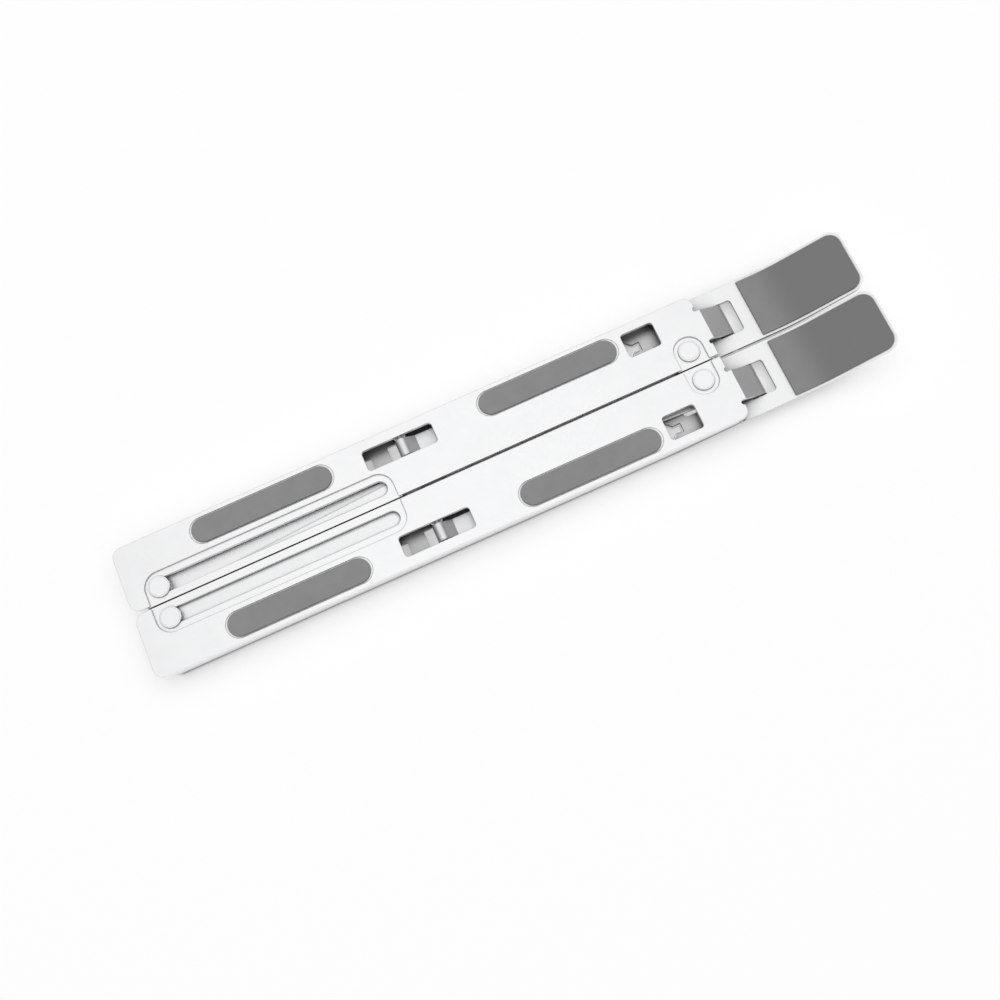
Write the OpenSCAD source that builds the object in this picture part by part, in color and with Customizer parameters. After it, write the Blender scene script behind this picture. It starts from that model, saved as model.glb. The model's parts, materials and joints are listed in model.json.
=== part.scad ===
// Folding laptop stand in bent aluminium sheet, shown folded flat.
// Two mirrored arms lie side by side. Each arm is a top plate hinged at its front to a
// base plate whose front end turns up as the hook that a laptop leans against.
// Two crossed links join the arms and let them part. A prop strut under each top plate
// swings down and drops its tongue into one of the level holes of the base plate.
// The hooks point to +X, the floor is Z = 0, and the arms lie on both sides of Y = 0.

/* [Arms] */
// Length of a top plate from its rear edge to its front edge
top_len = 212.9; // [176:0.5:256]
// Width of one arm
arm_w = 23; // [21.5:0.5:28]
// Gap between the two closed arms
arm_gap = 1; // [0.6:0.1:3]
// Thickness of the top plates
top_t = 1.5; // [1.2:0.05:2]
// Thickness of the base plates
base_t = 1.4; // [1:0.05:2]
// Radius of the rear corners
rear_corner_r = 3.5; // [1:0.1:5]
// Radius of the outer front corner of a top plate
front_corner_r = 3; // [1:0.1:5]
// Distance that a base plate stops short of its top plate at the rear
base_setback = 4.3; // [1:0.1:8]

/* [Hinge] */
// Distance of the hinge axis ahead of the top plate's front edge
hinge_ahead = 7.1; // [6:0.1:9]
// Depth of the hinge axis below the top face
hinge_drop = 5.9; // [5.4:0.1:6.2]
// Diameter of the hinge pin
hinge_pin_d = 2.2; // [2:0.1:3]
// Width of the tongue that wraps the hinge pin
tongue_w = 11.2; // [8:0.1:14]
// Flat length of the tongue before it slopes down
tongue_flat = 1.2; // [0.8:0.1:2]
// Free space ahead of the hinge axis in the hook plate's window
window_ahead = 6.1; // [4:0.1:8]

/* [Hook] */
// Depth of the hook plate below the top face
hook_drop = 4.2; // [3.8:0.1:4.6]
// Length of the hook from the hinge axis to its tip
hook_reach = 47.7; // [38:0.1:60]
// Flat length of the hook ahead of the hinge axis
hook_flat = 14.5; // [12:0.1:18]
// Radius of the bend
hook_bend_r = 50; // [20:1:60]
// Angle that the hook rises at
hook_angle = 16; // [8:1:25]
// Radius of the tip's corners
hook_corner_r = 4.3; // [2:0.1:7]

/* [Links] */
// Width of a link
link_w = 14.8; // [12:0.1:15]
// Thickness of a link
link_t = 1.2; // [1:0.05:1.6]
// Distance of the front pivots behind the hinge axis
pivot_back = 15.5; // [14.5:0.1:20]
// Distance of the folded slide pins from the rear edge
slide_start = 11.2; // [9:0.1:14]
// Travel of the slide pins along their slots
slide_travel = 79.5; // [60:0.5:95]
// Distance of the pivots and slots from the centre plane
pivot_y = 5.6; // [5.4:0.1:6.6]
// Diameter of the rivet and pin heads
head_d = 7.3; // [6:0.1:8]
// Diameter of the front and centre rivets
rivet_d = 4; // [3:0.1:5]
// Diameter of the slide pins
slide_d = 5.2; // [4:0.1:5.8]

/* [Recesses] */
// Width of a link recess, centred on the pivots and slots
recess_w = 10.4; // [8:0.1:12]
// Depth that the link recesses are stamped down
recess_depth = 0.8; // [0.6:0.05:1.2]
// Corner radius of the rear recess
recess_r = 5.5; // [3:0.1:7]

/* [Struts] */
// Distance of a strut's pin behind the hinge axis
strut_back = 116.3; // [108:0.1:120]
// Depth of the strut pin below the top face
strut_drop = 3.2; // [3:0.1:3.6]
// Length of a strut from its pin to its tip
strut_len = 87.5; // [80:0.5:90]
// Width of a strut
strut_w = 6.1; // [4.5:0.1:6.6]
// Thickness of a strut
strut_t = 1.3; // [1:0.05:1.5]
// Diameter of the strut pin
strut_pin_d = 1.7; // [1.4:0.1:2.2]
// Distance of the struts from the centre plane
strut_y = 16.15; // [15.6:0.05:16.6]
// Greatest angle that a strut swings down
strut_swing = 118; // [90:1:125]
// Number of level holes in a base plate
level_count = 6; // [3:1:7]
// Pitch of the level holes
level_pitch = 8; // [7:0.1:9]
// Length of a level hole
level_len = 4.4; // [4:0.1:5]
// Width of a level hole
level_w = 4.8; // [4:0.1:6]

/* [Pads and feet] */
// Length of a strip pad
pad_len = 51; // [40:0.5:60]
// Width of a strip pad
pad_w = 8.4; // [6:0.1:9]
// Distance of the strip pads from the centre plane
pad_y = 17.35; // [16.8:0.05:17.8]
// Middle of the rear pad, measured from the rear edge
rear_pad_at = 52.7; // [45:0.1:60]
// Middle of the front pad, measured back from the front edge
front_pad_at = 55.3; // [50:0.1:60]
// Thickness of the strip pads
pad_t = 0.7; // [0.6:0.05:1.4]
// Height that the strip pads stand above the top face
pad_proud = 0.45; // [0.2:0.05:0.8]
// Thickness of a hook pad
hook_pad_t = 0.6; // [0.4:0.05:1]
// Distance from the hook pad to the hook's sides
hook_pad_margin = 0.9; // [0.7:0.1:3]
// Distance that a hook pad starts behind the bend
hook_pad_lead = 3.8; // [2:0.1:5]
// Thickness of the feet
foot_t = 1.6; // [1.2:0.1:2.4]
// Width of the feet
foot_w = 8; // [6:0.1:9]
// Length of the rear feet
rear_foot_len = 22; // [14:0.5:26]
// Length of the front feet
front_foot_len = 36; // [20:0.5:44]

/* [Hidden] */
$fn = 72;

aluminium = [0.88, 0.89, 0.90];
steel = [0.78, 0.79, 0.80];
rubber = [0.47, 0.47, 0.48];

// Clearances and small fixed sizes
play = 0.15;            // between flat faces that slide on each other
run_fit = 0.05;         // radial, round a pin that turns
base_gap = 0.25;        // under the lowest rivet heads
head_t = 0.8;           // thickness of a closing head
thin_head_t = 0.5;      // thickness of the centre rivet's upper head
head_chamfer = 0.15;
side_gap = 0.4;         // beside the tongue and the struts
inset = 0.2;            // of the base flange from the arm's edge
flange_gap = 0.4;       // between the flange and the top plate
stamp_wall = 1.2;       // width of the stamped step round a recess
stamp_lip = 0.3;        // that a recess floor reaches into the gap
pocket_gap = 0.45;      // round a strip pad
over = 1;               // that a cutter runs past what it cuts
slot_play = 0.2;        // between a slide pin and its slot
recess_gap = 0.2;       // that a recess is shorter than it is wide at its round ends
relief_r = 0.8;         // of the round notches at the tongue's root
cut_gap = 0.6;          // round the strut where it lies in the base plate
small_r = 0.6;          // of the hinge window's rear corners
window_r = 1.2;         // of the windows' other corners
notch_r = 1.5;          // of the notch under the links
notch_gap = 0.5;        // between the ramp and a link where the notch starts
ramp_len = 24;          // of the slope from the base plate up to the hook plate
flange_step = 2;        // length of the flange's slope at its front end
foot_inset = 4;         // from a foot to the end of its plate
foot_side = 1.2;        // from a front foot to the arm's inner edge
rear_window_back = 13.9;    // that the rear window runs behind the strut pin
rear_window_ahead = 11.5;   // and ahead of it
front_window_back = 5.5;    // that the front window runs behind the strut's tip
front_window_ahead = 6.3;   // and ahead of it
front_window_side = 0.7;    // that it is wider than the rear window on each side
window_side = 0.7;          // between the strut and the rear window's sides
level_lead = 6.4;           // from the strut's cut-out to the first level hole
web_bury = 0.1;             // that the strap starts inside the curl
ear_bury = 0.5;             // that the strut's ears reach into the top plate
tongue_root = 2;            // that the tongue reaches back into the top plate
spacer_inset = 0.15;        // of a spacer ring from the rivet head's side

// Heights, from the floor up
base_z = foot_t;
base_top = base_z + base_t;
low_bot = base_top + base_gap + head_t + play;
low_top = low_bot + link_t;
up_bot = low_top + play;
up_top = up_bot + link_t;
floor_bot = up_top + play;
floor_top = floor_bot + top_t;
top_z = floor_top + recess_depth;
plate_bot = top_z - top_t;
hook_top = top_z - hook_drop;
hook_bot = hook_top - base_t;
hinge_z = top_z - hinge_drop;
strut_z = top_z - strut_drop;

// Places along the stand, with its middle at X = 0
total_len = top_len + hinge_ahead + hook_reach;
rear_x = -total_len / 2;
front_x = rear_x + top_len;
hinge_x = front_x + hinge_ahead;
tip_x = hinge_x + hook_reach;
pivot_x = hinge_x - pivot_back;
slide_x = rear_x + slide_start;
strut_x = hinge_x - strut_back;
base_x = rear_x + base_setback;
bend_x = hinge_x + hook_flat;
rear_pad_x = rear_x + rear_pad_at;
front_pad_x = front_x - front_pad_at;

// Places across one arm, measured from the centre plane
in_y = arm_gap / 2;
out_y = in_y + arm_w;
mid_y = in_y + arm_w / 2;
recess_y = pivot_y + recess_w / 2;
slot_w = slide_d + slot_play;

// Links: both bars run from a front pivot to a slot of the other arm
link_dx = pivot_x - slide_x;
link_dy = 2 * pivot_y;
link_len = sqrt(link_dx * link_dx + link_dy * link_dy);
link_turn = atan(link_dy / link_dx);

// Angle between two points of the hook's bend
bend_step = hook_angle / 16;

// Hinge: the tongue slopes down in a straight line that touches the curl
hinge_r = hinge_pin_d / 2;
curl_r = hinge_r + run_fit + top_t;
tongue_dx = hinge_ahead - tongue_flat;
tongue_reach = sqrt(tongue_dx * tongue_dx + hinge_drop * hinge_drop);
tongue_slope = acos(curl_r / tongue_reach) - atan(tongue_dx / hinge_drop);
tongue_run = sqrt(tongue_reach * tongue_reach - curl_r * curl_r);
window_w = tongue_w + 2 * side_gap;
lug_t = 1.5;
lug_wall = 1.1;
lug_r = hinge_r + lug_wall;

// Ramp between the base plate and the higher hook plate
ramp_front = pivot_x + recess_w / 2;
ramp_rear = ramp_front - ramp_len;
ramp_rise = hook_bot - base_z;
notch_x = ramp_rear + ramp_len * min(0.9, (low_bot - base_top - notch_gap) / ramp_rise);

// Strut: the sheet curls over the pin, slopes down and runs on as a flat strap
strut_r = strut_pin_d / 2;
strut_curl_r = strut_r + run_fit + strut_t;
strap_x = 5;
strap_drop = 0.9;
tip_drop = 3.4;
strap_tilt = atan((tip_drop - strap_drop) / (strut_len - strap_x));
web_reach = sqrt(strap_x * strap_x + strap_drop * strap_drop);
web_slope = asin(strut_curl_r / web_reach) + atan(strap_drop / strap_x);
nose_w = 2.2;
nose_len = 2.2;
nose_taper = (strut_w - nose_w) / 2;
ear_t = 1.1;
ear_r = 2;
window_half = strut_w / 2 + window_side;

// Rear end of the strut's cut-out, where the strap's back passes at its full swing
swing_end = strut_swing + strap_tilt;
back_off = (strap_drop + strut_t) * cos(strap_tilt) - strap_x * sin(strap_tilt);
back_fall = strut_z - base_z;
back_run = (back_fall - back_off * cos(swing_end)) / sin(swing_end);
strut_cut_back = back_off * sin(swing_end) - back_run * cos(swing_end) + cut_gap;
level_x = strut_x - strut_cut_back - level_lead;

// Rectangle with its own radius at each corner, in the order
// rear inner, front inner, front outer, rear outer
module plate_2d(x0, x1, y0, y1, radii) {
    corners = [[x0, y0], [x1, y0], [x1, y1], [x0, y1]];
    difference() {
        translate([x0, y0]) square([x1 - x0, y1 - y0]);
        for (i = [0:3])
            if (radii[i] > 0)
                translate(corners[i])
                    rotate(90 * i)
                        difference() {
                            translate([-over, -over]) square(radii[i] + over);
                            translate([radii[i], radii[i]]) circle(radii[i]);
                        }
    }
}

// Strip with round ends, centred, of the given length and width
module stadium(length, width) {
    square([length - width, width], center = true);
    for (s = [-1, 1])
        translate([s * (length - width) / 2, 0]) circle(width / 2);
}

// Extrudes an XY outline between two heights
module slab(z0, z1) {
    translate([0, 0, z0]) linear_extrude(z1 - z0) children();
}

// Extrudes an outline drawn in X and Z between two distances from the centre plane
module across(y0, y1) {
    translate([0, y1, 0]) rotate([90, 0, 0]) linear_extrude(y1 - y0) children();
}

// Round bar across an arm
module cross_bar(x, z, y0, y1, r) {
    translate([x, y0, z]) rotate([-90, 0, 0]) cylinder(r = r, h = y1 - y0);
}

// Round bar standing upright
module upright(x, y, z0, z1, r) {
    translate([x, y, z0]) cylinder(r = r, h = z1 - z0);
}

// Flat rivet head with a fine chamfer on its upper edge
module flat_head(x, y, z0, z1) {
    r = head_d / 2;
    upright(x, y, z0, z1 - head_chamfer, r);
    translate([x, y, z1 - head_chamfer])
        cylinder(r1 = r, r2 = r - head_chamfer, h = head_chamfer);
}

// Mirrors an arm's piece to the left side
module left_side() {
    mirror([0, 1, 0]) children();
}

// ---- Top arm ----

module rear_recess_2d(grow) {
    r = recess_r + grow;
    plate_2d(slide_x - recess_w / 2 + recess_gap - grow,
             slide_x + slide_travel + recess_w / 2 - recess_gap + grow,
             in_y - stamp_lip - over, recess_y + grow, [0, 0, r, r]);
}

module front_recess_2d(grow) {
    r = recess_w / 2 - recess_gap + grow;
    plate_2d(pivot_x - recess_w / 2 - grow, pivot_x + recess_w / 2 + grow,
             in_y - stamp_lip - over, recess_y + grow, [0, 0, r, r]);
}

// Stamped floor of a recess, which reaches a little into the gap between the arms
module stamped_floor() {
    intersection() {
        slab(floor_bot, floor_top) children();
        slab(floor_bot - over, floor_top + over)
            translate([rear_x, in_y - stamp_lip]) square([top_len, arm_w]);
    }
}

module slot_2d() {
    translate([slide_x + slide_travel / 2, pivot_y])
        stadium(slide_travel + slot_w, slot_w);
}

// Outline of the tongue in X and Z: flat, slope and curl round the pin
module tongue_profile() {
    translate([front_x - tongue_root, plate_bot]) square([tongue_root + tongue_flat, top_t]);
    translate([front_x + tongue_flat, top_z])
        rotate(-tongue_slope)
            translate([0, -top_t]) square([tongue_run, top_t]);
    translate([hinge_x, hinge_z]) circle(curl_r);
}

module strut_ears() {
    for (y = [strut_y - window_half - ear_t, strut_y + window_half])
        across(y, y + ear_t) {
            translate([strut_x, strut_z]) circle(ear_r);
            translate([strut_x - ear_r, strut_z]) square([2 * ear_r, plate_bot + ear_bury - strut_z]);
        }
}

module top_windows() {
    slab(plate_bot - over, top_z + over) {
        plate_2d(strut_x - rear_window_back, strut_x + rear_window_ahead,
                 strut_y - window_half, strut_y + window_half,
                 [window_r, window_r, window_r, window_r]);
        plate_2d(strut_x + strut_len - front_window_back, strut_x + strut_len + front_window_ahead,
                 strut_y - window_half - front_window_side, strut_y + window_half + front_window_side,
                 [window_r, window_r, window_r, window_r]);
    }
}

module pad_pockets() {
    for (x = [rear_pad_x, front_pad_x])
        slab(top_z + pad_proud - pad_t, top_z + over)
            translate([x, pad_y]) stadium(pad_len + 2 * pocket_gap, pad_w + 2 * pocket_gap);
}

module top_arm() {
    color(aluminium)
    difference() {
        union() {
            difference() {
                slab(plate_bot, top_z)
                    plate_2d(rear_x, front_x, in_y, out_y,
                             [rear_corner_r, 0, front_corner_r, rear_corner_r]);
                slab(floor_top, top_z + over) {
                    rear_recess_2d(0);
                    front_recess_2d(0);
                }
                slab(plate_bot - over, top_z + over)
                    for (s = [-1, 1])
                        translate([front_x, mid_y + s * (tongue_w / 2 + relief_r)]) circle(relief_r);
            }
            stamped_floor() rear_recess_2d(stamp_wall);
            stamped_floor() front_recess_2d(stamp_wall);
            across(mid_y - tongue_w / 2, mid_y + tongue_w / 2) tongue_profile();
            strut_ears();
        }
        slab(floor_bot - over, top_z + over) slot_2d();
        upright(pivot_x, pivot_y, floor_bot - over, top_z + over, rivet_d / 2);
        cross_bar(hinge_x, hinge_z, mid_y - tongue_w, mid_y + tongue_w, hinge_r + run_fit);
        cross_bar(strut_x, strut_z, strut_y - arm_w / 4, strut_y + arm_w / 4, strut_r);
        top_windows();
        pad_pockets();
    }
}

// ---- Base arm ----

function backwards(points) = [for (i = [len(points) - 1:-1:0]) points[i]];

// Line along the hook in X and Z at a height above its upper face, from the bend to the tip
function hook_line(height) =
    let (r = hook_bend_r - height,
         straight = (tip_x - bend_x - hook_bend_r * sin(hook_angle)) / cos(hook_angle) + 2,
         arc_points = [for (a = [0:bend_step:hook_angle])
             [bend_x + r * sin(a), hook_top + hook_bend_r - r * cos(a)]])
    concat(arc_points,
           [[bend_x + r * sin(hook_angle) + straight * cos(hook_angle),
             hook_top + hook_bend_r - r * cos(hook_angle) + straight * sin(hook_angle)]]);

module base_profile() {
    polygon(concat([[base_x, base_z], [ramp_rear, base_z], [ramp_front, hook_bot]],
                   hook_line(-base_t), backwards(hook_line(0)),
                   [[ramp_front, hook_top], [ramp_rear, base_top], [base_x, base_top]]));
}

module flange_profile() {
    polygon([[base_x, base_z], [ramp_rear, base_z], [ramp_front, hook_bot],
             [ramp_front + flange_step, hook_bot], [ramp_front + flange_step, hook_top],
             [ramp_front - flange_step, plate_bot - flange_gap],
             [base_x, plate_bot - flange_gap]]);
}

// Plan of the strut with a space all round, drawn from its pin
module strut_plan(rear, grow) {
    half = strut_w / 2 + grow;
    nose = nose_w / 2 + grow;
    shoulder = strut_len - nose_len - nose_taper;
    polygon([[rear, -half], [shoulder, -half], [strut_len - nose_len, -nose],
             [strut_len + grow, -nose], [strut_len + grow, nose],
             [strut_len - nose_len, nose], [shoulder, half], [rear, half]]);
}

// Round lugs that hold the hinge pin, flush with the hook plate's upper face
module hinge_lugs() {
    for (y = [mid_y - window_w / 2 - lug_t, mid_y + window_w / 2])
        across(y, y + lug_t)
            intersection() {
                union() {
                    translate([hinge_x, hinge_z]) circle(lug_r);
                    translate([hinge_x - lug_r, hinge_z]) square([2 * lug_r, lug_r]);
                }
                translate([hinge_x - lug_r, 0]) square([2 * lug_r, hook_top]);
            }
}

module level_holes() {
    slab(base_z - over, base_top + over)
        for (i = [0:level_count - 1])
            translate([level_x - i * level_pitch - level_len, strut_y - level_w / 2])
                square([level_len, level_w]);
}

module base_arm() {
    color(aluminium)
    difference() {
        union() {
            intersection() {
                union() {
                    across(in_y, out_y) base_profile();
                    across(out_y - inset - base_t, out_y - inset) flange_profile();
                }
                slab(base_z - over, top_z + hook_reach)
                    plate_2d(base_x, tip_x, in_y, out_y,
                             [rear_corner_r, hook_corner_r, hook_corner_r, rear_corner_r]);
            }
            hinge_lugs();
        }
        slab(base_z - over, top_z) {
            plate_2d(hinge_x - curl_r - side_gap, hinge_x + window_ahead,
                     mid_y - window_w / 2, mid_y + window_w / 2, [small_r, window_r, window_r, small_r]);
            plate_2d(notch_x, pivot_x + link_w / 2 + cut_gap, in_y - over,
                     pivot_y + link_w / 2 + cut_gap,
                     [0, 0, notch_r, notch_r]);
            translate([strut_x, strut_y]) strut_plan(-strut_cut_back, cut_gap);
        }
        level_holes();
        cross_bar(hinge_x, hinge_z, mid_y - arm_w / 2, mid_y + arm_w / 2, hinge_r);
    }
}

module hinge_pin() {
    reach = window_w / 2 + lug_t;
    color(steel) cross_bar(hinge_x, hinge_z, mid_y - reach, mid_y + reach, hinge_r);
}

// ---- Struts ----

// Outline of the strap in X and Z, from the curl round the pin, which is the origin
module strap_profile() {
    touch = [sin(web_slope), cos(web_slope)];
    polygon([(strut_curl_r - web_bury) * touch, [strap_x, -strap_drop], [strut_len, -tip_drop],
             [strut_len, -tip_drop - strut_t], [strap_x, -strap_drop - strut_t],
             strut_r * touch]);
}

module strut() {
    y0 = strut_y - strut_w / 2;
    y1 = strut_y + strut_w / 2;
    color(aluminium)
    translate([strut_x, 0, strut_z])
        difference() {
            union() {
                cross_bar(0, 0, y0, y1, strut_curl_r);
                intersection() {
                    across(y0, y1) strap_profile();
                    slab(-strut_z, strut_curl_r + over)
                        translate([0, strut_y]) strut_plan(0, 0);
                }
            }
            cross_bar(0, 0, y0 - over, y1 + over, strut_r + run_fit);
        }
}

module strut_pin() {
    reach = window_half + ear_t;
    color(steel) cross_bar(strut_x, strut_z, strut_y - reach, strut_y + reach, strut_r);
}

// ---- Pads and feet ----

module strip_pad(x) {
    color(rubber)
    slab(top_z + pad_proud - pad_t, top_z + pad_proud)
        translate([x, pad_y]) stadium(pad_len, pad_w);
}

module hook_pad() {
    x0 = bend_x - hook_pad_lead;
    r = hook_corner_r - hook_pad_margin / 3;
    color(rubber)
    intersection() {
        across(in_y + hook_pad_margin, out_y - hook_pad_margin)
            polygon(concat([[x0, hook_top]], hook_line(0),
                           backwards(hook_line(hook_pad_t)), [[x0, hook_top + hook_pad_t]]));
        slab(hook_top - over, top_z + hook_reach)
            plate_2d(x0, tip_x - hook_pad_margin, in_y + hook_pad_margin,
                     out_y - hook_pad_margin, [0, r, r, 0]);
    }
}

module foot(x, y, length) {
    color(rubber) slab(0, foot_t) translate([x, y]) stadium(length, foot_w);
}

module rear_foot() {
    foot(base_x + foot_inset + rear_foot_len / 2, mid_y, rear_foot_len);
}

module front_foot() {
    foot(ramp_rear - foot_inset - front_foot_len / 2, in_y + foot_side + foot_w / 2,
         front_foot_len);
}

// ---- Links and rivets ----

// Flat bar from the origin towards -X, with round ends and three bores
module link_bar(z0, front_r, middle_r, rear_r) {
    color(aluminium)
    difference() {
        slab(z0, z0 + link_t)
            translate([-link_len / 2, 0]) stadium(link_len + link_w, link_w);
        upright(0, 0, z0 - over, z0 + link_t + over, front_r);
        upright(-link_len / 2, 0, z0 - over, z0 + link_t + over, middle_r);
        upright(-link_len, 0, z0 - over, z0 + link_t + over, rear_r);
    }
}

module lower_link() {
    translate([pivot_x, -pivot_y, 0])
        rotate([0, 0, -link_turn])
            link_bar(low_bot, rivet_d / 2 + run_fit, rivet_d / 2, slide_d / 2);
}

module upper_link() {
    translate([pivot_x, pivot_y, 0])
        rotate([0, 0, link_turn])
            link_bar(up_bot, rivet_d / 2 + run_fit, rivet_d / 2 + run_fit, slide_d / 2);
}

module centre_rivet() {
    x = (pivot_x + slide_x) / 2;
    color(steel) {
        upright(x, 0, low_bot, up_top + play, rivet_d / 2);
        upright(x, 0, up_top + play, up_top + play + thin_head_t, head_d / 2);
        upright(x, 0, low_bot - head_t, low_bot, head_d / 2);
    }
}

// Rivet that a link turns on, fixed in the top plate; link_bot is the link's lower face
module pivot_rivet(link_bot) {
    color(steel) {
        flat_head(pivot_x, pivot_y, floor_top, top_z);
        upright(pivot_x, pivot_y, link_bot - play, floor_top, rivet_d / 2);
        upright(pivot_x, pivot_y, link_bot - play - head_t, link_bot - play, head_d / 2);
    }
}

// Pin fixed in a link's rear end that slides along the top plate's slot
module slide_pin(link_bot) {
    color(steel) {
        flat_head(slide_x, pivot_y, floor_top + play, top_z);
        upright(slide_x, pivot_y, link_bot, floor_top + play, slide_d / 2);
        upright(slide_x, pivot_y, link_bot - head_t, link_bot, head_d / 2);
    }
}

// Ring that fills the height of the upper link where only the lower link is pinned
module spacer(x, z0, z1, inner_r) {
    color(steel)
    difference() {
        upright(x, pivot_y, z0, z1, head_d / 2 - spacer_inset);
        upright(x, pivot_y, z0 - over, z1 + over, inner_r);
    }
}

module pivot_spacer() {
    left_side() spacer(pivot_x, low_top + play, floor_bot, rivet_d / 2);
}

module slide_spacer() {
    spacer(slide_x, low_top, floor_bot - play, slide_d / 2);
}

left_side() top_arm();  // left_top_arm
top_arm();  // right_top_arm
left_side() base_arm();  // left_base_arm
base_arm();  // right_base_arm
left_side() strip_pad(rear_pad_x);  // left_rear_pad
strip_pad(rear_pad_x);  // right_rear_pad
left_side() strip_pad(front_pad_x);  // left_front_pad
strip_pad(front_pad_x);  // right_front_pad
left_side() hook_pad();  // left_hook_pad
hook_pad();  // right_hook_pad
left_side() strut();  // left_strut
strut();  // right_strut
left_side() strut_pin();  // left_strut_pin
strut_pin();  // right_strut_pin
left_side() hinge_pin();  // left_hinge_pin
hinge_pin();  // right_hinge_pin
left_side() front_foot();  // left_front_foot
front_foot();  // right_front_foot
left_side() rear_foot();  // left_rear_foot
rear_foot();  // right_rear_foot
lower_link();
upper_link();
centre_rivet();
left_side() pivot_rivet(low_bot);  // left_pivot_rivet
pivot_rivet(up_bot);  // right_pivot_rivet
pivot_spacer();
left_side() slide_pin(up_bot);  // left_slide_pin
slide_pin(low_bot);  // right_slide_pin
slide_spacer();
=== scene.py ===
# %% [markdown]
# # A folding laptop stand in blasted aluminium
# The stand is two arms side by side. Each arm is a long top plate hinged to a base plate whose
# front end turns up as a hook. Crossed links join the arms, and a small strut props each top
# plate up. Here it lies folded flat, as it comes out of its pouch.
#
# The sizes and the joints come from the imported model, which is loaded first and never moved.
# The looks are made around it: soft sheet edges, rubber strips, turned rivets and their finishes.

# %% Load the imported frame
import json
import math

import bmesh
import bpy
from mathutils import Matrix, Vector


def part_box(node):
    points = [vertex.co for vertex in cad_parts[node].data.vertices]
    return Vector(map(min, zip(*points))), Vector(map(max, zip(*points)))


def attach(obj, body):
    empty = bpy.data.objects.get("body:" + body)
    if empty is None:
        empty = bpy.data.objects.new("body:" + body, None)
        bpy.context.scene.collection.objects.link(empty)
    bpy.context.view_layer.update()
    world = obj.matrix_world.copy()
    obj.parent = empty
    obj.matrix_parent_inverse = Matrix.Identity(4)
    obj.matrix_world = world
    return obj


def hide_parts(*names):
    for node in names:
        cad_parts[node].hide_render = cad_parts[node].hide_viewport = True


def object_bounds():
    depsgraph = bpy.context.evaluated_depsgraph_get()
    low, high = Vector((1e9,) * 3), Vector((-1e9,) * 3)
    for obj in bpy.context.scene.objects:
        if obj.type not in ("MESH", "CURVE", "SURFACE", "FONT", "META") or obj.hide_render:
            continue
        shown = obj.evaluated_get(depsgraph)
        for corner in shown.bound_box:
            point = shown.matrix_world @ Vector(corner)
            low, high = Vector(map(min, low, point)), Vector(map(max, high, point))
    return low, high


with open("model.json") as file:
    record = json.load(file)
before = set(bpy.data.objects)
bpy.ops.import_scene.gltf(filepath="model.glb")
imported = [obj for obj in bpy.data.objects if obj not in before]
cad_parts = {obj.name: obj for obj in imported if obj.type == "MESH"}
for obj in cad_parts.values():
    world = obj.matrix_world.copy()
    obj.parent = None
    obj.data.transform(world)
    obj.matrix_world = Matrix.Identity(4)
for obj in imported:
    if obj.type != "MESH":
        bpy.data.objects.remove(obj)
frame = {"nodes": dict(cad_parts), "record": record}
cad_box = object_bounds()
MM = 0.001
SIDES = ("left", "right")
print("CAD box in mm:", [[round(v / MM, 2) for v in corner] for corner in cad_box])

# %% [markdown]
# ## Where things are
# Nothing is measured twice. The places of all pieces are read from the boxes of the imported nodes,
# and the camera is aimed from the middle of the whole box. The record says which body each node
# belongs to, so that a new piece can ride on the same body as the node that it stands for.

# %% Read places and bodies from the frame
MIDDLE = (cad_box[0] + cad_box[1]) / 2
TOP_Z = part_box("right_top_arm")[1].z
body_of_node = {}
for body, members in frame["record"]["behaviour"]["bodies"].items():
    for member in members:
        body_of_node[member] = body
print("middle of the box in mm:", [round(v / MM, 2) for v in MIDDLE])
print("top face in mm:", round(TOP_Z / MM, 2))

# %% [markdown]
# ## Putting a finished mesh in the scene
# A finished piece has its place in its vertices, so its object stays at the origin. All faces are
# shaded smooth and the true creases are marked sharp. A Weighted Normal modifier then lets the
# large faces decide the shading of the corners that they share with small ones. That keeps wide
# sheet flat in the light, while the narrow rounded edges beside it still shade smoothly.

# %% Finish a piece
CREASE_ANGLE = 22


def finish_piece(bm, name, node, material, crease_angle=CREASE_ANGLE):
    mesh = bpy.data.meshes.new(name)
    for face in bm.faces:
        face.smooth = True
    bm.to_mesh(mesh)
    bm.free()
    mesh.materials.append(material)
    mesh.set_sharp_from_angle(angle=math.radians(crease_angle))
    piece = bpy.data.objects.new(name, mesh)
    bpy.context.scene.collection.objects.link(piece)
    weighted = piece.modifiers.new("flat faces stay flat", "WEIGHTED_NORMAL")
    weighted.keep_sharp = True
    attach(piece, body_of_node[node])
    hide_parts(node)
    print(f"{name}: {len(mesh.polygons)} faces, rides on {body_of_node[node]}")
    return piece


# %% [markdown]
# ## Tools for finishes
# A material is a small graph of nodes. Each one here starts from a Principled shader and from the
# position on the object in metres. A noise with a scale of 1000 then has blobs of about one
# millimetre, and it keeps that size whatever piece it is on.

# %% Start a material and add noise to it
def new_material(name):
    material = bpy.data.materials.new(name)
    material.use_nodes = True
    nodes = material.node_tree.nodes
    shader = nodes["Principled BSDF"]
    place = nodes.new("ShaderNodeTexCoord")
    return material, nodes, material.node_tree.links, shader, place.outputs["Object"]


def noise(nodes, links, place, grain, detail, roughness=0.5):
    """Noise whose blobs are about the given size in metres."""
    texture = nodes.new("ShaderNodeTexNoise")
    texture.inputs["Scale"].default_value = 1 / grain
    texture.inputs["Detail"].default_value = detail
    texture.inputs["Roughness"].default_value = roughness
    links.new(place, texture.inputs["Vector"])
    return texture.outputs["Fac"]


# %% [markdown]
# A noise seldom reaches 0 or 1: nearly all of it lies between 0.3 and 0.7. So that middle is
# stretched before the noise mixes two colours or sets a roughness. The same stretch, mix and bump
# serve the metals and the rubbers, so each is written once.

# %% Stretch, mix and bump
NOISE_LOW = 0.3
NOISE_HIGH = 0.7


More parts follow.
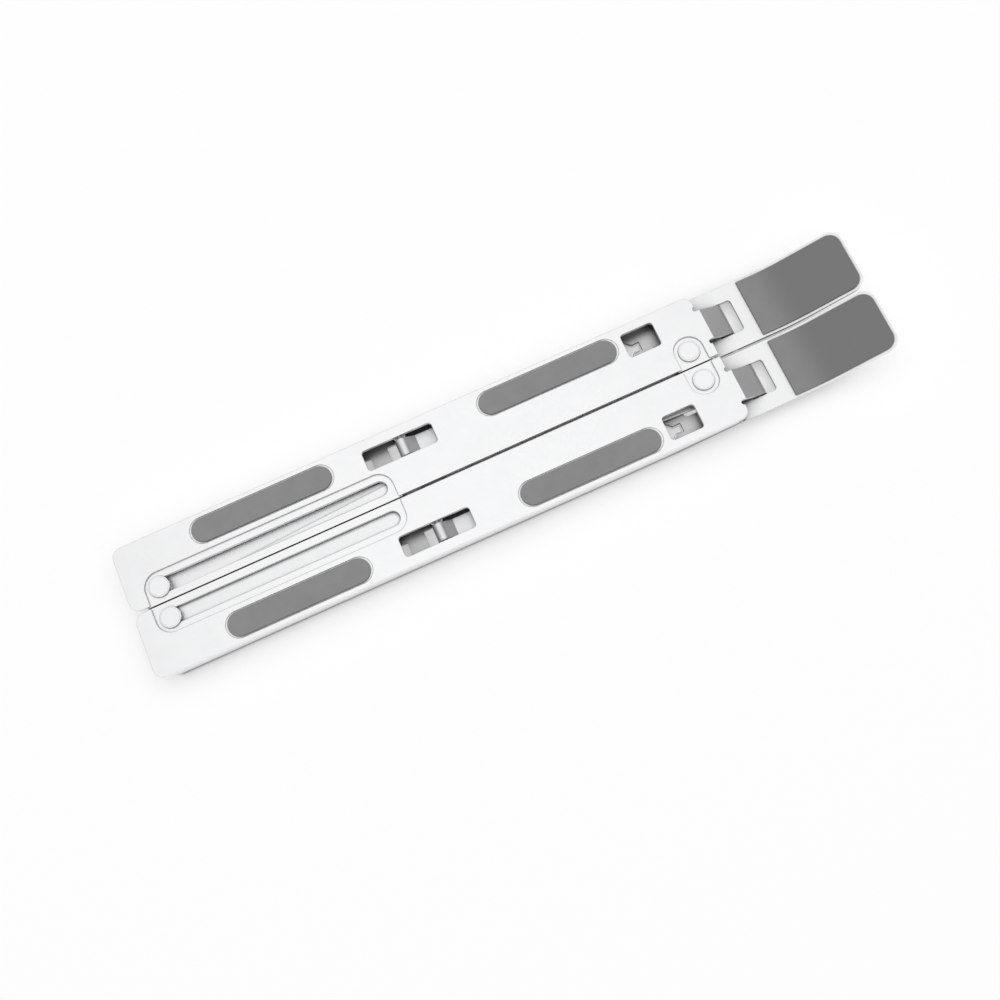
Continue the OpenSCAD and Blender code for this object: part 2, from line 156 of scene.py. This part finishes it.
def stretch(nodes, links, value, to_low, to_high, from_low=NOISE_LOW, from_high=NOISE_HIGH):
    """Maps the range of a value onto another range."""
    mapper = nodes.new("ShaderNodeMapRange")
    mapper.inputs["From Min"].default_value = from_low
    mapper.inputs["From Max"].default_value = from_high
    mapper.inputs["To Min"].default_value = to_low
    mapper.inputs["To Max"].default_value = to_high
    links.new(value, mapper.inputs["Value"])
    return mapper.outputs["Result"]


def tint(nodes, links, value, dark, light):
    """A colour between two others, by a value from 0 to 1."""
    mixer = nodes.new("ShaderNodeMix")
    mixer.data_type = "RGBA"
    mixer.inputs["A"].default_value = (*dark, 1)
    mixer.inputs["B"].default_value = (*light, 1)
    links.new(value, mixer.inputs["Factor"])
    return mixer.outputs["Result"]


def bump(nodes, links, height, depth, before=None):
    """A bump of the given depth in metres, on top of another normal if there is one."""
    bumper = nodes.new("ShaderNodeBump")
    bumper.inputs["Strength"].default_value = 1.0
    bumper.inputs["Distance"].default_value = depth
    links.new(height, bumper.inputs["Height"])
    if before is not None:
        links.new(before, bumper.inputs["Normal"])
    return bumper.outputs["Normal"]


# %% [markdown]
# ## Painted shade in creases
# Stamped corners, slots and the thin gap round a rivet look darker than open sheet, because they
# see less of the room. That shade is painted into the colour here: the Ambient Occlusion node
# measures how open a point is to the room within a short reach, and that openness scales the
# colour. It looks at the geometry only and not at the camera, so the painted shade stays put in
# every view.

# %% Paint shade into a colour in the creases
# Painted shade: the share of the colour that is left in a fully closed crease.
PAINTED_SHADE_TONE = 0.06
CREASE_SAMPLES = 8


def painted_crease_shade(nodes, links, colour, closed, clear, reach):
    """Paints shade into a colour: scales it by its openness, from the crease shade tone at closed
    to full at clear.
    """
    openness = nodes.new("ShaderNodeAmbientOcclusion")
    openness.samples = CREASE_SAMPLES
    openness.inputs["Distance"].default_value = reach
    scale = stretch(nodes, links, openness.outputs["AO"], PAINTED_SHADE_TONE, 1.0, closed, clear)
    darkened = nodes.new("ShaderNodeVectorMath")
    darkened.operation = "SCALE"
    links.new(colour, darkened.inputs[0])
    links.new(scale, darkened.inputs["Scale"])
    return darkened.outputs["Vector"]


# %% [markdown]
# ## Blasted and anodised aluminium
# Glass beads leave a fine, even grain of tiny craters, and anodising seals it under a clear skin.
# The sheet looks silky white and has no brush lines. So the shader is fully metallic, with a
# grain of a third of a millimetre in its roughness and in a very shallow bump, and with wide
# faint clouds in its colour. A Bevel node can round the edges in the shading alone, for a plate
# whose edges stay sharp in its mesh.

# %% Make a metal
GRAIN = 0.3 * MM
CLOUD = 9 * MM
CRATER_DEPTH = 0.012 * MM


# closed, clear and reach set the painted shade in the creases of this metal.
def metal(name, light, dark, smooth, rough, closed, clear, reach, soft_edge=None):
    material, nodes, links, shader, place = new_material(name)
    shader.inputs["Metallic"].default_value = 1.0
    clouds = noise(nodes, links, place, CLOUD, 3)
    grains = noise(nodes, links, place, GRAIN, 2, 0.6)
    colour = tint(nodes, links, stretch(nodes, links, clouds, 0, 1), dark, light)
    # Painted shade: the colour is darkened in creases by how open they are.
    colour = painted_crease_shade(nodes, links, colour, closed, clear, reach)
    links.new(colour, shader.inputs["Base Color"])
    links.new(stretch(nodes, links, grains, smooth, rough), shader.inputs["Roughness"])
    rounding = None
    if soft_edge:
        bevel = nodes.new("ShaderNodeBevel")
        bevel.inputs["Radius"].default_value = soft_edge
        rounding = bevel.outputs["Normal"]
    links.new(bump(nodes, links, grains, CRATER_DEPTH, rounding), shader.inputs["Normal"])
    return material


# %% [markdown]
# The same recipe gives five finishes. The top plates and the base plates are blasted. The base
# plates look out from under the top plates, so the painted shade in their creases reaches far,
# under the top plates. The struts are only tumbled, which leaves them a little greyer and rougher.
# The links are satin flat bar, and the rivets have nearly the finish of the plates round them.

# %% Make the five metal finishes
WHITE = (0.93, 0.935, 0.94)
PALE = (0.91, 0.915, 0.92)
GREYER = (0.87, 0.875, 0.88)

blasted = metal(
    "blasted aluminium", WHITE, PALE, smooth=0.34, rough=0.46,
    closed=0.42, clear=0.8, reach=0.7 * MM,
)
base_blasted = metal(
    "blasted base", WHITE, PALE, smooth=0.34, rough=0.46,
    closed=0.15, clear=0.95, reach=9 * MM, soft_edge=0.15 * MM,
)
tumbled = metal(
    "tumbled aluminium", WHITE, GREYER, smooth=0.45, rough=0.55,
    closed=0.05, clear=0.5, reach=0.8 * MM,
)
link_metal = metal(
    "flat bar aluminium", WHITE, PALE, smooth=0.40, rough=0.50,
    closed=0.35, clear=0.85, reach=1.6 * MM,
)
rivet_metal = metal(
    "rivet metal", WHITE, PALE, smooth=0.36, rough=0.44,
    closed=0.4, clear=0.8, reach=0.4 * MM,
)
metals = (blasted, base_blasted, tumbled, link_metal, rivet_metal)
print("metal finishes:", [m.name for m in metals])

# %% [markdown]
# ## Silicone rubber
# The strips, mats and feet are matt grey silicone. Up close the moulded skin has a very fine
# grain and faint uneven clouds. A little sheen stands for the dust on it, which catches light at
# a low angle. The hook mats look paler near the hinge, where they lie flat under the light, than
# on the curl. That shade on the curl is painted into their colour, which fades along the stand to a
# darker one.

# %% Make a rubber
SKIN_GRAIN = 0.25 * MM
SKIN_CLOUD = 6 * MM
SKIN_DEPTH = 0.01 * MM
DUST = 0.05


def fade_along(nodes, links, place, colour, start, end, far_colour):
    """Changes a colour smoothly to another one between two places along X."""
    split = nodes.new("ShaderNodeSeparateXYZ")
    links.new(place, split.inputs[0])
    ramp = nodes.new("ShaderNodeMapRange")
    ramp.interpolation_type = "SMOOTHSTEP"
    ramp.inputs["From Min"].default_value = start
    ramp.inputs["From Max"].default_value = end
    links.new(split.outputs["X"], ramp.inputs["Value"])
    mixer = nodes.new("ShaderNodeMix")
    mixer.data_type = "RGBA"
    mixer.inputs["B"].default_value = (*far_colour, 1)
    links.new(ramp.outputs["Result"], mixer.inputs["Factor"])
    links.new(colour, mixer.inputs["A"])
    return mixer.outputs["Result"]


def rubber(name, light, dark, smooth, rough, fade=None):
    material, nodes, links, shader, place = new_material(name)
    shader.inputs["Sheen Weight"].default_value = DUST
    shader.inputs["Specular IOR Level"].default_value = 0.3
    clouds = noise(nodes, links, place, SKIN_CLOUD, 4, 0.6)
    grains = noise(nodes, links, place, SKIN_GRAIN, 3, 0.6)
    colour = tint(nodes, links, stretch(nodes, links, clouds, 0, 1), dark, light)
    if fade:
        colour = fade_along(nodes, links, place, colour, *fade)
    links.new(colour, shader.inputs["Base Color"])
    links.new(stretch(nodes, links, grains, smooth, rough), shader.inputs["Roughness"])
    links.new(bump(nodes, links, grains, SKIN_DEPTH), shader.inputs["Normal"])
    return material


# %% [markdown]
# The strips are the palest rubber. The feet are darker, because they pick up dirt from the table.
# The place of the fade on the hook mats is counted from the mats' own rear edge.

# %% Make the three rubber finishes
MAT_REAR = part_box("right_hook_pad")[0].x
FADE_START = MAT_REAR + 3.15 * MM
FADE_END = FADE_START + 12 * MM
# Painted shade: the darker grey that the curl of a hook mat is given for the light it misses.
CURL_SHADE_GREY = (0.265, 0.265, 0.27)

strip_rubber = rubber(
    "strip rubber", (0.39, 0.386, 0.39), (0.355, 0.352, 0.355), smooth=0.7, rough=0.85,
)
hook_rubber = rubber(
    "hook rubber", (0.37, 0.37, 0.375), (0.34, 0.34, 0.345), smooth=0.55, rough=0.68,
    # painted shade: the mat's colour fades to the curl's shaded grey along X
    fade=(FADE_START, FADE_END, CURL_SHADE_GREY),
)
foot_rubber = rubber(
    "foot rubber", (0.24, 0.24, 0.245), (0.22, 0.22, 0.225), smooth=0.7, rough=0.85,
)
rubbers = (strip_rubber, hook_rubber, foot_rubber)
print("rubber finishes:", [m.name for m in rubbers])

# %% [markdown]
# ## Sheet pieces with soft edges
# Plates and links are punched from sheet and tumbled, so no edge is knife sharp, and it is the
# thin highlight on each edge that makes sheet look like sheet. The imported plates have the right
# shape with sharp edges, so their meshes are copied and not made again. A copy is merged first,
# because it comes as loose triangles, and the lines across its flat faces are dissolved. Then a
# narrow bevel of a few segments rounds each sharp edge.

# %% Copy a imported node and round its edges
MERGE = 0.001 * MM
FLAT_ANGLE = 0.4
SHARP_ANGLE = 20


def clean_copy(node):
    bm = bmesh.new()
    bm.from_mesh(frame["nodes"][node].data)
    bmesh.ops.remove_doubles(bm, verts=bm.verts, dist=MERGE)
    bmesh.ops.dissolve_limit(
        bm, angle_limit=math.radians(FLAT_ANGLE), verts=bm.verts, edges=bm.edges,
        use_dissolve_boundaries=False,
    )
    return bm


def sharp_edges(bm):
    limit = math.radians(SHARP_ANGLE)
    return [e for e in bm.edges if len(e.link_faces) == 2 and e.calc_face_angle(0) > limit]


def round_edges(bm, edges, width, steps):
    bmesh.ops.bevel(
        bm, geom=edges, offset=width, offset_type="OFFSET", segments=steps, profile=0.5,
        affect="EDGES", clamp_overlap=False, material=-1,
    )


def sheet_piece(node, name, material, width, steps=2):
    bm = clean_copy(node)
    round_edges(bm, sharp_edges(bm), width, steps)
    return finish_piece(bm, name, node, material)


# %% [markdown]
# ### Top plates, props and bars
# The top plates have the crispest edges. The props and the bars are a little rounder, as small
# parts are that have tumbled against each other for longer.

# %% Make the top plates, the props and the bars
PLATE_EDGE = 0.12 * MM
BAR_EDGE = 0.15 * MM

for side in SIDES:
    sheet_piece(f"{side}_top_arm", f"{side}_top_plate", blasted, PLATE_EDGE)
    sheet_piece(f"{side}_strut", f"{side}_prop", tumbled, BAR_EDGE)
for level in ("lower", "upper"):
    sheet_piece(f"{level}_link", f"{level}_bar", link_metal, BAR_EDGE)

# %% [markdown]
# ### Base plates
# A base plate bends up as a flange, steps down a shallow ramp and rolls over into the hook. A cut
# bevel crowds the short edges where the ramp meets the window and leaves false shadows there. So
# this mesh keeps its sharp edges and its finish rounds them in the shading. The ramp is less than
# five degrees steep, so creases count as sharp here from three degrees on.

# %% Make the base plates
RAMP_ANGLE = 3

for side in SIDES:
    node = f"{side}_base_arm"
    bm = clean_copy(node)
    finish_piece(bm, f"{side}_base_plate", node, base_blasted, RAMP_ANGLE)

# %% [markdown]
# ## Rubber strips and feet
# A strip is a flat bar with round ends, pressed into its pocket. It starts as one circle whose two
# halves are pulled apart, which keeps both ends truly round. The outline is then raised to a
# solid, and one rim is rounded over. A foot is the same bar with its lower rim rounded.

# %% Make a bar with round ends
BAR_SIDES = 64
RIM_STEPS = 4


def round_bar(low, high, rim, rim_up):
    """A bar along X with round ends, filling the box from low to high, with one rim rounded."""
    radius = (high.y - low.y) / 2
    reach = (high.x - low.x) / 2 - radius
    centre = (low + high) / 2
    bm = bmesh.new()
    made = bmesh.ops.create_circle(bm, cap_ends=True, radius=radius, segments=BAR_SIDES)
    half_step = Matrix.Rotation(math.pi / BAR_SIDES, 3, "Z")
    bmesh.ops.rotate(bm, verts=made["verts"], cent=(0, 0, 0), matrix=half_step)
    for sign in (-1, 1):
        half = [v for v in bm.verts if v.co.x * sign > 0]
        bmesh.ops.translate(bm, verts=half, vec=(sign * reach, 0, 0))
    raised = bmesh.ops.extrude_face_region(bm, geom=list(bm.faces))
    top = [v for v in raised["geom"] if isinstance(v, bmesh.types.BMVert)]
    bmesh.ops.translate(bm, verts=top, vec=(0, 0, high.z - low.z))
    bmesh.ops.translate(bm, verts=bm.verts, vec=(centre.x, centre.y, low.z))
    bmesh.ops.recalc_face_normals(bm, faces=bm.faces)
    level = high.z if rim_up else low.z
    at_level = {v for v in bm.verts if abs(v.co.z - level) < 0.01 * MM}
    edges = [e for e in sharp_edges(bm) if at_level.issuperset(e.verts)]
    round_edges(bm, edges, rim, RIM_STEPS)
    return bm


# %% [markdown]
# The strips are a little shorter than their pockets, so a thin line of the pocket's round end
# shows at each end of a strip, slightly wider in front.

# %% Make the strips and the feet
REAR_TRIM = Vector((0.3 * MM, 0, 0))
FRONT_TRIM = Vector((0.4 * MM, 0, 0))
STRIP_RIM = 0.25 * MM
FOOT_RIM = 0.4 * MM

for side in SIDES:
    for end in ("rear", "front"):
        low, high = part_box(f"{side}_{end}_pad")
        strip = round_bar(low + REAR_TRIM, high - FRONT_TRIM, STRIP_RIM, rim_up=True)
        finish_piece(strip, f"{side}_{end}_strip", f"{side}_{end}_pad", strip_rubber)
        low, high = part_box(f"{side}_{end}_foot")
        foot = round_bar(low, high, FOOT_RIM, rim_up=False)
        finish_piece(foot, f"{side}_{end}_sole", f"{side}_{end}_foot", foot_rubber)

# %% [markdown]
# ## Hook mats
# The mat that lines a hook is one moulded sheet that follows the hook's curl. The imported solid
# already has that curl, so its copy is used, with a rounder edge than metal has.

# %% Make the hook mats
MAT_EDGE = 0.18 * MM

for side in SIDES:
    sheet_piece(f"{side}_hook_pad", f"{side}_hook_mat", hook_rubber, MAT_EDGE, 3)

# %% [markdown]
# ## Turned pieces
# Rivets, pins and rings are round, so each one is half an outline spun about its axis. The
# outline is drawn with square corners, and a vertex bevel rounds or chamfers the ones that a
# press or a lathe would break. Spun in a full circle, the first and the last copy of the outline
# are merged, and so are the points that lie on the axis.

# %% Spin an outline about an upright or a cross axis
SPIN_MERGE = 0.0005 * MM


def turned(outline, centre, broken, break_width, break_steps, axis="Z", steps=56):
    """Spins (radius, height) corners about an axis, after breaking the numbered corners."""
    bm = bmesh.new()
    corners = []
    for radius, height in outline:
        local = (radius, 0, height) if axis == "Z" else (radius, height, 0)
        corners.append(bm.verts.new(centre + Vector(local)))
    for start, end in zip(corners, corners[1:]):
        bm.edges.new((start, end))
    bmesh.ops.bevel(
        bm, geom=[corners[i] for i in broken], offset=break_width, offset_type="OFFSET",
        segments=break_steps, profile=0.5, affect="VERTICES", clamp_overlap=False, material=-1,
    )
    direction = Vector((0, 0, 1)) if axis == "Z" else Vector((0, 1, 0))
    bmesh.ops.spin(
        bm, geom=bm.verts[:] + bm.edges[:], cent=centre, axis=direction, angle=math.tau,
        steps=steps, use_merge=True, use_duplicate=False,
    )
    bmesh.ops.remove_doubles(bm, verts=bm.verts, dist=SPIN_MERGE)
    bmesh.ops.recalc_face_normals(bm, faces=bm.faces)
    return bm


# %% [markdown]
# ### Rivets and slide pins
# A pressed rivet has a flat head with a rounded rim. The punch leaves a faint ring just inside
# it, which is modelled as a groove of a few hundredths of a millimetre. The upper head differs in
# height from pin to pin, and the lower head has one height on all of them.

# %% Make a pin with two heads
RING_INSET = 0.5 * MM
RING_DEPTH = 0.035 * MM
HEAD_RIM = 0.12 * MM
LOWER_HEAD = 0.8 * MM


def headed_pin(node, name, shank_d, upper_head, finish=rivet_metal):
    low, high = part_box(node)
    centre = Vector(((low.x + high.x) / 2, (low.y + high.y) / 2, 0))
    radius = (high.x - low.x) / 2
    shank = shank_d / 2
    groove = radius - RING_INSET
    outline = [
        (0, high.z),
        (groove, high.z),
        (groove + RING_DEPTH, high.z - RING_DEPTH),
        (groove + 2 * RING_DEPTH, high.z),
        (radius, high.z),
        (radius, high.z - upper_head),
        (shank, high.z - upper_head),
        (shank, low.z + LOWER_HEAD),
        (radius, low.z + LOWER_HEAD),
        (radius, low.z),
        (0, low.z),
    ]
    rims = (4, 9)
    bm = turned(outline, centre, rims, HEAD_RIM, RIM_STEPS)
    return finish_piece(bm, name, node, finish)


# %% [markdown]
# The front rivet's head fills the recess of its plate. The slide pin is thicker, because it runs
# in the slot, and it keeps a little play under its head. The cross rivet joins the two links and
# takes their finish.

# %% Make the rivets and the slide pins
RECESS_DEPTH = 0.8 * MM
SLIDE_PLAY = 0.15 * MM
RIVET_SHANK = 4.0 * MM
SLIDE_SHANK = 5.2 * MM
CROSS_HEAD = 0.5 * MM

for side in SIDES:
    headed_pin(f"{side}_pivot_rivet", f"{side}_front_rivet", RIVET_SHANK, RECESS_DEPTH)
    headed_pin(f"{side}_slide_pin", f"{side}_slider", SLIDE_SHANK, RECESS_DEPTH - SLIDE_PLAY)
headed_pin("centre_rivet", "cross_rivet", RIVET_SHANK, CROSS_HEAD, link_metal)

# %% [markdown]
# ### Rods and rings
# Each top plate turns on a rod inside its curl, and each prop on another. They are plain wire cut
# to length, with a small chamfer at each end. The spacer rings make up the height of the upper
# link where only the lower one is pinned. A ring's outline is closed and does not reach the axis,
# so its bore stays open.

# %% Make the rods and the rings
ROD_CHAMFER = 0.15 * MM
RING_CHAMFER = 0.1 * MM
ROD_STEPS = 40


def rod(node, name):
    """A plain rod across the arm."""
    low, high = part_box(node)
    centre = Vector(((low.x + high.x) / 2, 0, (low.z + high.z) / 2))
    radius = (high.z - low.z) / 2
    outline = [(0, low.y), (radius, low.y), (radius, high.y), (0, high.y)]
    bm = turned(outline, centre, (1, 2), ROD_CHAMFER, 1, axis="Y", steps=ROD_STEPS)
    return finish_piece(bm, name, node, rivet_metal)


def ring(node, name, bore_d):
    """A flat ring with an open bore."""
    low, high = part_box(node)
    centre = Vector(((low.x + high.x) / 2, (low.y + high.y) / 2, 0))
    outer = (high.x - low.x) / 2
    inner = bore_d / 2
    outline = [(inner, low.z), (outer, low.z), (outer, high.z), (inner, high.z), (inner, low.z)]
    bm = turned(outline, centre, (1, 2), RING_CHAMFER, 1)
    return finish_piece(bm, name, node, rivet_metal)


for side in SIDES:
    rod(f"{side}_hinge_pin", f"{side}_hinge_rod")
    rod(f"{side}_strut_pin", f"{side}_prop_rod")
ring("pivot_spacer", "front_ring", RIVET_SHANK)
ring("slide_spacer", "slider_ring", SLIDE_SHANK)

# %% [markdown]
# ## The floor
# The stand lies on a plain white floor. The floor glows faintly, as a light table does, so that it
# stays white under a soft light that is kept low for the sake of the metal. It lies a fifth of a
# millimetre under the feet, so that the two never share a plane.

# %% Make the floor
FLOOR_SIZE = 6
FLOOR_DROP = 0.2 * MM
FLOOR_GREY = 0.88
TABLE_GLOW = 0.4

bpy.ops.mesh.primitive_plane_add(size=FLOOR_SIZE, location=(0, 0, -FLOOR_DROP))
floor = bpy.context.object
floor.name = "floor"
floor_paint = bpy.data.materials.new("pale floor")
floor_paint.use_nodes = True
floor_shader = floor_paint.node_tree.nodes["Principled BSDF"]
floor_shader.inputs["Base Color"].default_value = (FLOOR_GREY, FLOOR_GREY, FLOOR_GREY, 1)
floor_shader.inputs["Roughness"].default_value = 0.9
floor_shader.inputs["Specular IOR Level"].default_value = 0.1
floor_shader.inputs["Emission Color"].default_value = (1, 1, 1, 1)
floor_shader.inputs["Emission Strength"].default_value = TABLE_GLOW
floor.data.materials.append(floor_paint)
print("floor:", FLOOR_SIZE, "m square")

# %% [markdown]
# ## The room
# White metal on a white floor needs a room that is darker low down than overhead, or its edges
# would vanish. So the sky is a gradient: the upward part of its direction sets its strength, from
# a grey horizon to a white ceiling. In a world, the Generated coordinates are that direction.

# %% Light the room with a gradient sky
CEILING = 0.94
HORIZON = 0.18
HORIZON_TOP = 0.3
CEILING_EDGE = 0.95

world = bpy.data.worlds.new("studio")
bpy.context.scene.world = world
world.use_nodes = True
sky_nodes = world.node_tree.nodes
sky_links = world.node_tree.links
direction = sky_nodes.new("ShaderNodeTexCoord")
upward = sky_nodes.new("ShaderNodeSeparateXYZ")
sky_links.new(direction.outputs["Generated"], upward.inputs[0])
rise = sky_nodes.new("ShaderNodeMapRange")
rise.interpolation_type = "SMOOTHSTEP"
rise.inputs["From Min"].default_value = HORIZON_TOP
rise.inputs["From Max"].default_value = CEILING_EDGE
rise.inputs["To Min"].default_value = HORIZON
rise.inputs["To Max"].default_value = CEILING
sky_links.new(upward.outputs["Z"], rise.inputs["Value"])
sky_nodes["Background"].inputs["Color"].default_value = (1, 1, 1, 1)
sky_links.new(rise.outputs["Result"], sky_nodes["Background"].inputs["Strength"])
print("sky strength from", HORIZON, "to", CEILING)

# %% [markdown]
# ## The soft box
# One wide, weak lamp overhead and a little behind the stand gives the metal a direction of light
# without hard shadows. The plain Standard view keeps white paint and white metal white.

# %% Hang the soft box
BOX_PLACE = Vector((0.05, 0.45, 1.3))
BOX_SIZE = 1.2
BOX_POWER = 1.0

lamp = bpy.data.lights.new("overhead soft box", "AREA")
lamp.shape = "SQUARE"
lamp.size = BOX_SIZE
lamp.energy = BOX_POWER
soft_box = bpy.data.objects.new("overhead soft box", lamp)
bpy.context.scene.collection.objects.link(soft_box)
soft_box.location = BOX_PLACE
soft_box.rotation_euler = (-BOX_PLACE).to_track_quat("-Z", "Y").to_euler()
bpy.context.scene.view_settings.view_transform = "Standard"
print("soft box at", [round(v, 2) for v in BOX_PLACE])

# %% [markdown]
# ## The camera
# It looks down from the near side, fifteen degrees off plumb, and is rolled so that the stand
# climbs from lower left to upper right. The place is given as an aim point, two angles, a roll
# and a distance, because those are what one turns on a tripod.

# %% Place the camera
AIM = Vector((MIDDLE.x - 8.2 * MM, MIDDLE.y - 15.0 * MM, TOP_Z))
AZIMUTH = math.radians(-8.87)
ELEVATION = math.radians(74.84)
ROLL = math.radians(15.49)
DISTANCE = 412.2 * MM
FOCAL_LENGTH = 45.0
NEAREST = 0.01

back = Vector((
    math.sin(AZIMUTH) * math.cos(ELEVATION),
    -math.cos(AZIMUTH) * math.cos(ELEVATION),
    math.sin(ELEVATION),
))
lens = bpy.data.cameras.new("camera")
lens.lens = FOCAL_LENGTH
lens.clip_start = NEAREST
camera = bpy.data.objects.new("camera", lens)
bpy.context.scene.collection.objects.link(camera)
camera.location = AIM + back * DISTANCE
roll_turn = Matrix.Rotation(-ROLL, 4, back)
camera.rotation_mode = "QUATERNION"
camera.rotation_quaternion = roll_turn.to_quaternion() @ (-back).to_track_quat("-Z", "Y")
bpy.context.scene.camera = camera
print("camera at", [round(v, 3) for v in camera.location])

# %% Update the view layer and finish
bpy.context.view_layer.update()
